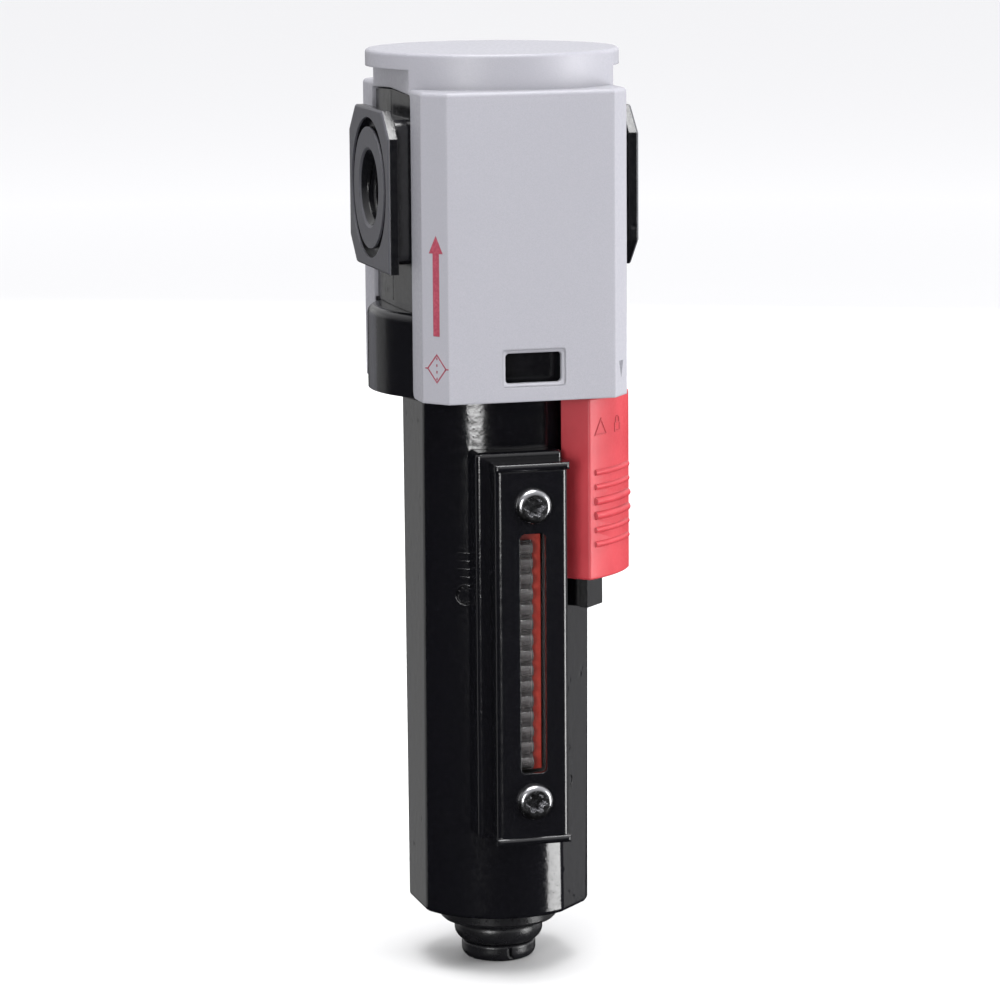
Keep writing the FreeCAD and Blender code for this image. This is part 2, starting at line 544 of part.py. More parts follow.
# ---------------------------------------------------------------- slide latch
def build_latch():
    """The latch is drawn with its rail along +X and then turned onto the diagonal."""
    column = cylinder("latch_column", "latch_radius", "latch_foot", "latch_top")
    slab = block("latch_slab", ("latch_back", "-latch_half", "latch_foot"), ("latch_radius + 1", "latch_half", "latch_top"))
    shell = eased("latch_shell", shared("latch_blank", [column, slab]), "0.7",
                  lambda edge: edge.CenterOfMass.x > size_of("latch_back") + 0.5)
    tongue = block("latch_tongue", ("tongue_back", "-tongue_half", "latch_top - 1"),
                   ("tongue_face", "tongue_half", "tongue_top"))
    ribs = []
    for index in range(int(sheet.grips)):
        bold = index in (2, 3)
        ring = torus(f"grip_ring_{index + 1}", "latch_radius - 0.2", "1.15" if bold else "0.85",
                     f"grip_first - grip_pitch * {index}")
        keep = block(f"grip_keep_{index + 1}", ("latch_back + 5", "-latch_half + 2", "latch_foot"),
                     ("latch_radius + 2", "latch_half - 2", "latch_top"))
        ribs.append(shared(f"grip_rib_{index + 1}", [ring, keep]))
    head_way = block("latch_head_way", ("rail_lip - slide_gap", "-rail_half - slide_gap", "latch_foot - 1"),
                     ("rail_face + slide_gap", "rail_half + slide_gap", "latch_top - 1.6"))
    web_way = block("latch_web_way", ("latch_back - 1", "-rail_neck - slide_gap", "latch_foot - 1"),
                    ("rail_lip", "rail_neck + slide_gap", "latch_top - 1.6"))
    spring_way = block("latch_spring_way", ("rail_face", "-rail_half + 0.5", "latch_foot + 8"),
                       ("rail_face + 1.4", "rail_half - 0.5", "latch_top - 16"))
    latch = cut("slide_latch", joined("latch_solid", [shell, tongue, *ribs]), [head_way, web_way, spring_way])
    leaf = block("detent_leaf", ("rail_face + 0.9", "-rail_half + 0.8", "latch_foot + 8"),
                 ("rail_face + 1.4", "rail_half - 0.8", "latch_top - 16"))
    bead = rod("detent_bead", "0.45", "2 * rail_half - 2", ("rail_face + 0.8", "rail_half - 1", "latch_foot + 22"),
               ALONG_FRONT)
    spring = joined("latch_detent_spring", [leaf, bead])
    for piece in (latch, spring):
        piece.Placement = FreeCAD.Placement(FreeCAD.Vector(), FreeCAD.Rotation(Z_AXIS, sheet.diagonal))
        subpart(piece)


# ---------------------------------------------------------------- drain
def build_drain():
    subpart(turned_body("drain_body", [
        ("seat_hole", "valve_seat"), ("seat_hole", "spring_roof"), ("spring_bore", "spring_roof"),
        ("spring_bore", "hub_foot"), ("hub_radius", "hub_foot"), ("hub_radius", "clip_level - 0.8"),
        ("hub_radius - 0.9", "clip_level - 0.8"), ("hub_radius - 0.9", "clip_level + 0.8"),
        ("hub_radius", "clip_level + 0.8"), ("hub_radius", "drain_flange_foot"),
        ("drain_flange - 0.8", "drain_flange_foot"), ("drain_flange", "drain_flange_foot + 0.8"),
        ("drain_flange", "bowl_foot"), ("drain_seal_ring + 1.1", "bowl_foot"),
        ("drain_seal_ring + 1.1", "bowl_foot - 1.6"), ("drain_seal_ring - 1.1", "bowl_foot - 1.6"),
        ("drain_seal_ring - 1.1", "bowl_foot"), ("spigot_radius", "bowl_foot"), ("spigot_radius", "valve_seat")]))
    subpart(torus("drain_body_seal", "drain_seal_ring", "0.8", "bowl_foot - 0.8"))
    nut = document.addObject("Part::Prism", "drain_nut_hexagon")
    nut.Polygon = 6
    bind(nut, {"Circumradius": "spigot_radius + 5", "Height": "4"})
    locate(nut, ("0", "0", "floor_level"), UPRIGHT)
    subpart(cut("drain_nut", nut, [cylinder("drain_nut_hole", "spigot_radius", "floor_level", "floor_level + 4")]))

    subpart(turned_body("drain_valve", [
        ("0", "valve_seat + 3.4"), ("5.2", "valve_seat + 3.4"), ("7.4", "valve_seat + 2.4"), ("7.4", "valve_seat + 1.2"),
        ("6.6", "valve_seat + 1.2"), ("6.6", "valve_seat + 1.9"), ("5.4", "valve_seat + 1.9"),
        ("5.4", "valve_seat + 0.9"), ("valve_rod", "valve_seat + 0.9"), ("valve_rod", "valve_collar"),
        ("6.3", "valve_collar"), ("6.3", "valve_collar - 2.1"), ("0", "valve_collar - 2.1")]))
    subpart(turned_body("valve_seal", [
        ("5.4", "valve_seat + 1.9"), ("5.4", "valve_seat + 0.3"), ("6.6", "valve_seat + 0.3"),
        ("6.6", "valve_seat + 1.9")]))
    subpart(coil("drain_spring", "valve_rod + 1.9", 0.55, "valve_collar", "spring_roof", 4))

    ring = turned_body("drain_knob_blank", [
        ("spout_neck", "knob_foot"), ("knob_radius", "knob_foot"), ("knob_radius", "knob_top"),
        ("hub_radius + hub_gap", "knob_top"),
        ("hub_radius + hub_gap", "clip_level + 0.5"), ("hub_radius + 0.7", "clip_level + 0.5"),
        ("hub_radius + 0.7", "clip_level - 0.5"), ("hub_radius + hub_gap", "clip_level - 0.5"),
        ("hub_radius + hub_gap", "hub_foot - 0.4"), ("spout_neck", "hub_foot - 0.4")])
    subpart(rounded_rim("drain_knob", ring, "knob_radius", "knob_top", "2.2", "knob_foot", "4"))
    spout_blank = turned_body("drain_spout_blank", [
        ("spout_bore", "spout_foot"), ("spout_radius", "spout_foot"), ("spout_radius", "knob_foot"),
        ("spout_neck", "knob_foot"), ("spout_neck", "knob_foot + 1.9"), ("spout_bore", "knob_foot + 1.9")])
    spout = rounded_rim("drain_spout_rounded", spout_blank, "spout_radius", "knob_foot", "0.8", "spout_foot", "2.6")
    slit = block("spout_slit", ("-0.35", "-spout_radius", "spout_foot"), ("0.35", "-spout_radius + 2.6", "knob_foot - 0.6"))
    slit.Placement = FreeCAD.Placement(FreeCAD.Vector(), FreeCAD.Rotation(Z_AXIS, -56)).multiply(slit.Placement)
    subpart(cut("drain_spout", spout, [slit]))
    clip = cylinder("clip_blank", "hub_radius + 0.65", "clip_level - 0.4", "clip_level + 0.4")
    clip_hole = cylinder("clip_hole", "hub_radius - 0.75", "clip_level - 0.4", "clip_level + 0.4")
    clip_gap = block("clip_gap", ("0", "-1.5", "clip_level - 0.4"), ("hub_radius + 1", "1.5", "clip_level + 0.4"))
    subpart(cut("knob_clip", clip, [clip_hole, clip_gap]))


def rounded_rim(label, base, rim, top, top_ease, foot, foot_ease):
    """Round the upper and the lower outer edge of a turned piece with two radii."""
    def on_rim(level):
        return lambda edge: is_circle(edge, size_of(rim)) and abs(edge.CenterOfMass.z - size_of(level)) < 0.01
    eased_top = eased(label + "_top_eased", base, top_ease, on_rim(top))
    return eased(label, eased_top, foot_ease, on_rim(foot))


def coil(label, ring, wire, low, high, turns):
    """A compression spring: round wire swept along a helix between two levels."""
    start, end = size_of(low) + wire + 0.05, size_of(high) - wire - 0.05
    radius = size_of(ring)
    helix = Part.makeHelix((end - start) / turns, end - start, radius)
    section = Part.Wire([Part.Circle(FreeCAD.Vector(radius, 0, 0), Y_AXIS, wire).toShape()])
    swept = Part.Wire(helix).makePipeShell([section], True, True)
    item = document.addObject("Part::Feature", label)
    item.Label = label
    item.Shape = swept
    item.Placement = FreeCAD.Placement(FreeCAD.Vector(0, 0, start), UPRIGHT)
    return item


def group(label, pieces):
    """Several like fasteners kept as separate solids of one node."""
    item = document.addObject("Part::Compound", label)
    item.Label = label
    item.Links = pieces
    return subpart(item)


build_head()
build_shroud()
build_element()
build_bowl()
build_level_glass()
build_latch()
build_drain()
document.recompute()

for item in document.Objects:
    if {"Invalid", "Error"} & set(item.State):
        raise RuntimeError(f"{item.Label} failed: {item.State}")
os.makedirs("parts", exist_ok=True)
for item in subparts:
    shape = item.Shape
    if shape.isNull() or not shape.isValid() or not shape.Solids:
        raise RuntimeError(f"{item.Label} has no valid solid")
for item in subparts:
    item.Shape.exportStep(f"parts/{item.Label}.step")
    box = item.Shape.BoundBox
    print(f"{item.Label}: {len(item.Shape.Solids)} solids, {item.Shape.Volume:.0f} mm3, "
          f"x {box.XMin:.1f} {box.XMax:.1f}, y {box.YMin:.1f} {box.YMax:.1f}, z {box.ZMin:.1f} {box.ZMax:.1f}")
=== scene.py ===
"""Looks of the compressed air filter: materials, small surface detail, light and camera.

Everything is in metres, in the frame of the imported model: the origin is the middle of the pipe run,
+Z is up, -X is the inlet and -Y is the front with the level glass.
"""
import math

import bmesh
import bpy
from mathutils import Matrix, Vector
from mathutils.geometry import tessellate_polygon


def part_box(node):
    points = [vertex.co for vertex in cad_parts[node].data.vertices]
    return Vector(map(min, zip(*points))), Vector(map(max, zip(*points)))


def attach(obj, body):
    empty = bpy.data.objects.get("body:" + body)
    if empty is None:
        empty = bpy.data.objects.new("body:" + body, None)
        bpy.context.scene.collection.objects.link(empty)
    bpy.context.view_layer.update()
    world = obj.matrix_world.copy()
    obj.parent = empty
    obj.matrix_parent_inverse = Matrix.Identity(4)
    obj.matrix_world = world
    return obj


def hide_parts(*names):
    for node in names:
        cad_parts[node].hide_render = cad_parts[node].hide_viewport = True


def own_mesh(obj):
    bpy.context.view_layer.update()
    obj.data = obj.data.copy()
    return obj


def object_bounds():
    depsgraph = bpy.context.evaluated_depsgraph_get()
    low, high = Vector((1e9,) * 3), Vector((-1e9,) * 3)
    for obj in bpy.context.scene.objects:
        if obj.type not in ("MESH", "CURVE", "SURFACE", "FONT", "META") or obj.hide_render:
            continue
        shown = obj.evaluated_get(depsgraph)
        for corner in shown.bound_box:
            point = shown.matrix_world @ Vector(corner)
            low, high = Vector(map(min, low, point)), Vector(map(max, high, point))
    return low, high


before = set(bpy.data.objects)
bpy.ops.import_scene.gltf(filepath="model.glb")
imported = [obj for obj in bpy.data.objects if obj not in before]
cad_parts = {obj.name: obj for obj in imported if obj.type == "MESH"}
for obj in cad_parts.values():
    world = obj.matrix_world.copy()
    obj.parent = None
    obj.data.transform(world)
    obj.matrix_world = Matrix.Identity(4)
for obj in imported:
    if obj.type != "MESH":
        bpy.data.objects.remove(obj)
cad_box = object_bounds()

MM = 0.001
VIEW_YAW = 15.62
VIEW_PITCH = 9.40
VIEW_ROLL = -0.425
VIEW_DISTANCE = 1215.1 * MM
VIEW_LEVEL = -91.44 * MM
VIEW_ASIDE = 1.38 * MM
LENS = 151.565
SENSOR = 36.0

# Places on the object that the marks and small pieces sit on.
UP = Vector((0, 0, 1))
BEVEL_SIDE = Vector((-29.7, -32.7, 0)) * MM
BEVEL_FRONT = Vector((-24.1, -39.7, 0)) * MM
WINDOW_CENTRE = (0.5 * MM, -48.0 * MM)
PORT_BORE = 9.32 * MM
THREAD_PITCH = 1.814 * MM
BOWL_RADIUS = 26.95 * MM
LATCH_AZIMUTH = -45
LATCH_FLAT = 25.3 * MM
LATCH_FACE = 39.2 * MM
SINK = 0.05 * MM
BEND_STEP = 0.6 * MM

# name, azimuth, elevation, distance, width, height, power, level it faces, shown in gloss
SOFTBOXES = (
    ("strip_right", -62, 0, 1.30, 0.52, 0.90, 15, -0.15, True),
    ("near_right", -87, 0, 1.40, 0.36, 1.00, 27, -0.12, False),
    ("far_right", -112, 0, 1.40, 0.60, 1.00, 0.9, -0.12, True),
    ("strip_left", 39, 0, 1.25, 0.40, 0.66, 11, 0.06, True),
    ("rear_left", 152, 0, 1.50, 1.20, 1.20, 1.6, -0.12, True),
    ("rear", 205, 15, 1.50, 0.80, 0.80, 9, 0.0, False),
    ("top", 20, 78, 1.10, 0.90, 0.90, 26, 0.0, True),
)


# ---------------------------------------------------------------- camera, light and floor
def toward(azimuth, elevation):
    """Unit vector from the object: azimuth 0 is the front, positive turns to the inlet side."""
    around, up = math.radians(azimuth), math.radians(elevation)
    flat = math.cos(up)
    return Vector((-math.sin(around) * flat, -math.cos(around) * flat, math.sin(up)))


def make_camera():
    back = toward(VIEW_YAW, VIEW_PITCH)
    right = toward(VIEW_YAW - 90, 0)
    up = back.cross(right)
    roll = math.radians(VIEW_ROLL)
    side = right * math.cos(roll) + up * math.sin(roll)
    top = up * math.cos(roll) - right * math.sin(roll)
    data = bpy.data.cameras.new("camera")
    data.lens = LENS
    data.sensor_width = SENSOR
    data.clip_start = 0.05
    camera = bpy.data.objects.new("camera", data)
    bpy.context.scene.collection.objects.link(camera)
    place = Matrix((side, top, back)).transposed().to_4x4()
    place.translation = Vector((0, 0, VIEW_LEVEL)) + right * VIEW_ASIDE + back * VIEW_DISTANCE
    camera.matrix_world = place
    bpy.context.scene.camera = camera


def softbox(name, azimuth, elevation, distance, width, height, power, level, mirrored):
    """A rectangular area light that faces a level on the bowl axis; gloss shows it only if mirrored."""
    data = bpy.data.lights.new(name, "AREA")
    data.shape = "RECTANGLE"
    data.size = width
    data.size_y = height
    data.energy = power
    light = bpy.data.objects.new(name, data)
    light.visible_camera = False
    light.visible_glossy = mirrored
    bpy.context.scene.collection.objects.link(light)
    direction = toward(azimuth, elevation)
    light.location = UP * level + direction * distance
    light.rotation_mode = "QUATERNION"
    light.rotation_quaternion = direction.to_track_quat("Z", "Y")


def make_world():
    """A white studio above the horizon, dark below it, so that gloss black stays black.

    Rays straight from the camera see plain white behind the floor's edge.
    """
    world = bpy.data.worlds.new("studio")
    world.use_nodes = True
    nodes, links = world.node_tree.nodes, world.node_tree.links
    background = nodes["Background"]
    background.inputs["Color"].default_value = (0.985, 0.985, 1.0, 1)
    place = nodes.new("ShaderNodeTexCoord")
    height = nodes.new("ShaderNodeSeparateXYZ")
    links.new(place.outputs["Generated"], height.inputs["Vector"])

    def ramp(axis, low, high, to_low, to_high):
        node = nodes.new("ShaderNodeMapRange")
        for label, number in (("From Min", low), ("From Max", high), ("To Min", to_low), ("To Max", to_high)):
            node.inputs[label].default_value = number
        links.new(height.outputs[axis], node.inputs["Value"])
        return node.outputs["Result"]

    def combine(operation, first, second):
        node = nodes.new("ShaderNodeMath")
        node.operation = operation
        links.new(first, node.inputs[0])
        links.new(second, node.inputs[1])
        return node.outputs["Value"]

    sides = ramp("X", -1.0, 1.0, 0.06, 0.78)
    overhead = ramp("Z", 0.0, 1.0, 0.0, 0.90)
    above = ramp("Z", -0.04, 0.10, 0.015, 1.0)
    studio = combine("MULTIPLY", combine("ADD", sides, overhead), above)
    seen = nodes.new("ShaderNodeLightPath").outputs["Is Camera Ray"]
    strength = combine("MAXIMUM", studio, seen)
    links.new(strength, background.inputs["Strength"])
    bpy.context.scene.world = world


def make_floor():
    """A pale sheet under the object, left out of gloss so that the dark lower studio shows there."""
    half = 40.0
    level = cad_box[0].z
    data = bpy.data.meshes.new("floor")
    data.from_pydata([(-half, -half, level), (half, -half, level), (half, half, level), (-half, half, level)],
                     [], [(0, 1, 2, 3)])
    floor = bpy.data.objects.new("floor", data)
    bpy.context.scene.collection.objects.link(floor)
    paper = Surface("floor_paper", (0.5, 0.5, 0.5), 0.9)
    length = paper.nodes.new("ShaderNodeVectorMath")
    length.operation = "LENGTH"
    paper.links.new(paper.place, length.inputs[0])
    away = paper.span(length.outputs["Value"], 0.4, 2.4)
    paper.color(paper.blend(away, (0.52, 0.52, 0.523), (0.9, 0.9, 0.905)))
    paper.bump([(paper.noise(40, 2), 0.05, 0.2)])
    data.materials.append(paper.material)
    floor.visible_glossy = False
    floor.visible_shadow = False


# ---------------------------------------------------------------- material kit
class Surface:
    """A procedural material: one Principled shader and the nodes that feed it, in object metres."""

    def __init__(self, name, color, roughness, **settings):
        self.material = bpy.data.materials.new(name)
        self.material.use_nodes = True
        self.nodes = self.material.node_tree.nodes
        self.links = self.material.node_tree.links
        self.shader = self.nodes["Principled BSDF"]
        self.shader.inputs["Base Color"].default_value = (*color, 1)
        self.shader.inputs["Roughness"].default_value = roughness
        for label, value in settings.items():
            self.shader.inputs[label.replace("_", " ")].default_value = value
        self.place = self.nodes.new("ShaderNodeTexCoord").outputs["Object"]

    def stretched(self, x, y, z):
        node = self.nodes.new("ShaderNodeMapping")
        node.inputs["Scale"].default_value = (x, y, z)
        self.links.new(self.place, node.inputs["Vector"])
        return node.outputs["Vector"]

    def noise(self, scale, detail=2.0, place=None):
        node = self.nodes.new("ShaderNodeTexNoise")
        node.inputs["Scale"].default_value = scale
        node.inputs["Detail"].default_value = detail
        self.links.new(place or self.place, node.inputs["Vector"])
        return node.outputs["Fac"]

    def cells(self, scale, feature="F1"):
        node = self.nodes.new("ShaderNodeTexVoronoi")
        node.feature = feature
        node.inputs["Scale"].default_value = scale
        self.links.new(self.place, node.inputs["Vector"])
        return node.outputs["Distance"]

    def axis(self, name):
        node = self.nodes.new("ShaderNodeSeparateXYZ")
        self.links.new(self.place, node.inputs["Vector"])
        return node.outputs[name]

    def math(self, operation, *values):
        node = self.nodes.new("ShaderNodeMath")
        node.operation = operation
        for socket, value in zip(node.inputs, values):
            self.links.new(value, socket)
        return node.outputs["Value"]

    def span(self, value, low, high, to_low=0.0, to_high=1.0):
        """Map value from low..high to to_low..to_high, held at both ends."""
        node = self.nodes.new("ShaderNodeMapRange")
        for label, number in (("From Min", low), ("From Max", high), ("To Min", to_low), ("To Max", to_high)):
            node.inputs[label].default_value = number
        self.links.new(value, node.inputs["Value"])
        return node.outputs["Result"]

    def blend(self, factor, first, second):
        """A colour between two, by factor; each is a colour or a socket."""
        node = self.nodes.new("ShaderNodeMix")
        node.data_type = "RGBA"
        self.links.new(factor, node.inputs["Factor"])
        colours = [socket for socket in node.inputs if socket.type == "RGBA"]
        for socket, value in zip(colours, (first, second)):
            if isinstance(value, tuple):
                socket.default_value = (*value, 1)
            else:
                self.links.new(value, socket)
        return next(socket for socket in node.outputs if socket.type == "RGBA")

    def color(self, socket):
        self.links.new(socket, self.shader.inputs["Base Color"])

    def rough(self, socket):
        self.links.new(socket, self.shader.inputs["Roughness"])

    def bump(self, layers, edge=0.35):
        """Chain bumps over softened edges; each layer is (height, strength, depth in millimetres)."""
        soft = self.nodes.new("ShaderNodeBevel")
        soft.samples = 4
        soft.inputs["Radius"].default_value = edge * MM
        normal = soft.outputs["Normal"]
        for height, strength, depth in layers:
            node = self.nodes.new("ShaderNodeBump")
            node.inputs["Strength"].default_value = strength
            node.inputs["Distance"].default_value = depth * MM
            self.links.new(height, node.inputs["Height"])
            self.links.new(normal, node.inputs["Normal"])
            normal = node.outputs["Normal"]
        self.links.new(normal, self.shader.inputs["Normal"])


# ---------------------------------------------------------------- materials
def grey_plastic():
    """Silver-grey moulded shroud: fine sparkle, faint flow shading and a soft spark-eroded grain."""
    skin = Surface("grey_plastic", (0.234, 0.232, 0.257), 0.46)
    sparkle = skin.noise(5200, 1)
    flow = skin.noise(14, 3)
    fine = skin.blend(skin.span(sparkle, 0.35, 0.65), (0.204, 0.203, 0.225), (0.232, 0.230, 0.254))
    skin.color(skin.blend(skin.span(flow, 0.3, 0.7, 0, 0.35), fine, (0.206, 0.205, 0.228)))
    skin.rough(skin.span(skin.noise(900, 2), 0.3, 0.7, 0.40, 0.52))
    skin.bump([(skin.noise(2600, 2), 0.22, 0.05), (skin.noise(420, 1), 0.08, 0.1)], 0.8)
    return skin.material


def black_paint(name="black_paint", gloss=0.13, peel=0.62, pits=True):
    """Gloss black paint on a rough die casting: orange peel, dust specks and cast pits."""
    skin = Surface(name, (0.003, 0.003, 0.004), gloss, Specular_IOR_Level=0.65)
    swell = skin.noise(330, 2)
    grain = skin.noise(1500, 3)
    layers = [(swell, 0.34 * peel, 0.25), (grain, 0.16 * peel, 0.08)]
    specks = skin.cells(520, "F1")
    layers.append((skin.span(specks, 0.0, 0.22, 1, 0), 0.5 * peel, 0.05))
    if pits:
        hollow = skin.cells(190, "F1")
        sparse = skin.span(skin.noise(60, 1), 0.52, 0.62)
        layers.append((skin.math("MULTIPLY", skin.span(hollow, 0.05, 0.2, -1, 0), sparse), 0.8, 0.12))
    skin.bump(layers)
    skin.rough(skin.span(skin.noise(700, 2), 0.3, 0.7, gloss * 0.8, gloss * 1.3))
    dust = skin.span(skin.noise(2400, 2), 0.62, 0.8)
    skin.color(skin.blend(dust, (0.003, 0.003, 0.004), (0.016, 0.016, 0.019)))
    return skin


def head_paint():
    """The head: satin on the machined port faces, gloss paint on the cast sides."""
    skin = black_paint("head_paint", 0.20, 0.6)
    flange = -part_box("head_body")[0].x
    reach = skin.math("ABSOLUTE", skin.axis("X"))
    face = skin.span(reach, flange - 0.7 * MM, flange - 0.4 * MM)
    painted = skin.shader.inputs["Base Color"].links[0].from_socket
    satin = skin.blend(skin.noise(1900, 3), (0.030, 0.030, 0.036), (0.050, 0.050, 0.060))
    skin.color(skin.blend(face, painted, satin))
    gloss = skin.shader.inputs["Roughness"].links[0].from_socket
    node = skin.nodes.new("ShaderNodeMix")
    skin.links.new(face, node.inputs["Factor"])
    skin.links.new(gloss, node.inputs["A"])
    node.inputs["B"].default_value = 0.46
    skin.rough(node.outputs["Result"])
    return skin.material


def satin_black(name, shade=0.006, gloss=0.28, grain=1400):
    """Powder-coated sheet and moulded black plastic: a fine even stipple."""
    skin = Surface(name, (shade, shade, shade * 1.15), gloss, Specular_IOR_Level=0.4)
    stipple = skin.cells(grain, "SMOOTH_F1")
    skin.bump([(stipple, 0.32, 0.09), (skin.noise(grain * 0.4, 2), 0.12, 0.15)])
    skin.rough(skin.span(skin.noise(600, 2), 0.3, 0.7, gloss * 0.85, gloss * 1.2))
    worn = skin.span(skin.noise(3000, 2), 0.6, 0.8)
    skin.color(skin.blend(worn, (shade, shade, shade * 1.15), (shade * 2.6, shade * 2.6, shade * 2.9)))
    return skin.material


def red_plastic():
    """Signal-red moulding: satin grain, slightly lighter where the resin flowed."""
    skin = Surface("red_plastic", (0.30, 0.022, 0.030), 0.42, Specular_IOR_Level=0.45)
    skin.color(skin.blend(skin.span(skin.noise(90, 3), 0.3, 0.7), (0.27, 0.018, 0.025), (0.32, 0.026, 0.034)))
    skin.rough(skin.span(skin.noise(1100, 2), 0.3, 0.7, 0.34, 0.48))
    skin.bump([(skin.noise(2200, 2), 0.2, 0.05)])
    return skin.material


def red_strip():
    """The painted strip behind the level glass."""
    skin = Surface("red_strip", (0.34, 0.03, 0.02), 0.35)
    skin.color(skin.blend(skin.span(skin.noise(500, 2), 0.3, 0.7), (0.26, 0.024, 0.016), (0.34, 0.04, 0.028)))
    skin.bump([(skin.noise(1800, 2), 0.15, 0.05)])
    return skin.material


def plated(name, shade, gloss, brushed=False):
    """Plated or spring steel: faint turning or drawing lines and a little stain."""
    skin = Surface(name, (shade, shade, shade * 1.04), gloss, Metallic=1.0)
    lines = skin.noise(900, 2, skin.stretched(0.2, 1, 1) if brushed else None)
    stain = skin.span(skin.noise(260, 3), 0.35, 0.7)
    skin.color(skin.blend(stain, (shade, shade, shade * 1.04), (shade * 0.85, shade * 0.85, shade * 0.89)))
    skin.rough(skin.span(lines, 0.3, 0.7, gloss * 0.8, gloss * 1.3))
    skin.bump([(lines, 0.06, 0.03)], 0.15)
    return skin.material


def clear_glass():
    """Moulded level glass: a smoky clear tint that carries some light, and slight moulding waves."""
    skin = Surface("clear_glass", (0.42, 0.39, 0.39), 0.05, Transmission_Weight=0.84, IOR=1.49)
    skin.rough(skin.span(skin.noise(900, 2), 0.35, 0.75, 0.04, 0.14))
    skin.bump([(skin.noise(300, 2), 0.10, 0.1)])
    return skin.material


def rubber():
    """Moulded seal rubber, dull and faintly grained."""
    skin = Surface("rubber", (0.014, 0.014, 0.014), 0.62)
    skin.color(skin.blend(skin.noise(700, 3), (0.012, 0.012, 0.012), (0.022, 0.022, 0.021)))
    skin.bump([(skin.noise(1600, 3), 0.3, 0.06)])
    return skin.material


def porous_plastic():
    """Sintered white filter cylinder: open bead texture, with painted shade greying the hollows between
    beads.
    """
    skin = Surface("porous_plastic", (0.80, 0.80, 0.76), 0.85)
    beads = skin.cells(1300, "SMOOTH_F1")
    # The grey away from each bead's centre is painted shade in the hollows, not a colour of the plastic.
    skin.color(skin.blend(skin.span(beads, 0.2, 0.7), (0.86, 0.86, 0.82), (0.52, 0.52, 0.48)))
    skin.bump([(beads, 0.8, 0.3)])
    return skin.material


def pale_plastic():
    """Off-white moulded valve plastic."""
    skin = Surface("pale_plastic", (0.74, 0.74, 0.71), 0.42)
    skin.color(skin.blend(skin.noise(300, 3), (0.70, 0.70, 0.67), (0.78, 0.78, 0.76)))
    skin.bump([(skin.noise(1700, 2), 0.15, 0.05)])
    return skin.material


def ink_and_painted_shade(name, color):
    """Pad-printed ink, and the dark painted shade of a recessed mark: slightly uneven cover and a dull
    finish.
    """
    skin = Surface(name, color, 0.5)
    thin = tuple(channel * 1.25 + 0.02 for channel in color)
    skin.color(skin.blend(skin.span(skin.noise(1500, 3), 0.45, 0.8), color, thin))
    skin.bump([(skin.noise(2600, 2), 0.12, 0.03)])
    return skin.material


def dress(material, *nodes):
    """Give CAD nodes one finish, on the object's own material slots."""
    for name in nodes:
        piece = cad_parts[name]
        for slot in piece.material_slots:
            slot.link = "OBJECT"
            slot.material = material


# ---------------------------------------------------------------- small raised and printed shapes
def on_plane(origin, across, up, outward):
    """Places a flat drawing (u across, v up, lift) on a plane."""
    def place(u, v, lift):
        return origin + across * u + up * v + outward * lift
    return place


def on_column(radius, azimuth, level):
    """Places a drawing on an upright cylinder; u runs around it to the right as seen from outside."""
    def place(u, v, lift):
        around = azimuth - math.degrees(u / radius)
        return toward(around, 0) * (radius + lift) + UP * (level + v)
    return place


def finer(points, closed):
    """The same outline with more points, so that it can bend over a curved surface."""
    ends = points[1:] + points[:1] if closed else points[1:]
    result = []
    for (u0, v0), (u1, v1) in zip(points, ends):
        count = max(1, math.ceil(math.hypot(u1 - u0, v1 - v0) / BEND_STEP))
        result += [(u0 + (u1 - u0) * n / count, v0 + (v1 - v0) * n / count) for n in range(count)]
    return result if closed else result + [points[-1]]


def arc(centre, radius, start, end, count):
    """Points of an arc in degrees; a whole turn leaves out its repeated end."""
    total = count if abs(end - start) >= 360 else count + 1
    turns = [math.radians(start + (end - start) * n / count) for n in range(total)]
    return [(centre[0] + radius * math.cos(t), centre[1] + radius * math.sin(t)) for t in turns]


def stroke(points, width, height, place, closed=False):
    """A raised line with sloping sides along a drawn path: its vertices and faces."""
    path = finer(points, closed)
    count = len(path)
    verts, faces = [], []
    for index, (u, v) in enumerate(path):
        before = path[index - 1] if closed or index else path[0]
        after = path[(index + 1) % count] if closed or index < count - 1 else path[-1]
        along = Vector((after[0] - before[0], after[1] - before[1])).normalized()
        into = Vector((u - before[0], v - before[1]))
        turn = 1.0 if into.length < 1e-9 else max(0.6, along.dot(into.normalized()))
        side = Vector((-along.y, along.x)) / turn
        for offset, lift in ((-0.5, -SINK), (-0.32, height), (0.32, height), (0.5, -SINK)):
            verts.append(place(u + side.x * width * offset, v + side.y * width * offset, lift))
    rows = count if closed else count - 1
    for row in range(rows):
        a, b = 4 * row, 4 * ((row + 1) % count)
        faces += [(a + k, a + k + 1, b + k + 1, b + k) for k in range(3)]
        faces.append((a + 3, a, b, b + 3))
    if not closed:
        faces += [(0, 3, 2, 1), tuple(4 * (count - 1) + k for k in range(4))]
    return verts, faces


def patch(points, height, place):
    """A filled flat shape with straight sides: its vertices and faces."""
    count = len(points)
    verts = [place(u, v, lift) for lift in (-SINK, height) for u, v in points]
    cap = tessellate_polygon([[Vector((u, v, 0)) for u, v in points]])
    faces = [tuple(count + k for k in triangle) for triangle in cap]
    faces += [tuple(reversed(triangle)) for triangle in cap]
    faces += [(k, (k + 1) % count, count + (k + 1) % count, count + k) for k in range(count)]
    return verts, faces


def build(name, shapes, body, material):
    """Join drawn shapes into one piece that rides on a body."""
    verts, faces = [], []
    for new_verts, new_faces in shapes:
        start = len(verts)
        verts += new_verts
        faces += [tuple(start + k for k in face) for face in new_faces]
    data = bpy.data.meshes.new(name)
    data.from_pydata(verts, [], faces)
    tidy_normals(data)
    data.materials.append(material)
    piece = bpy.data.objects.new(name, data)
    bpy.context.scene.collection.objects.link(piece)
    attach(piece, body)


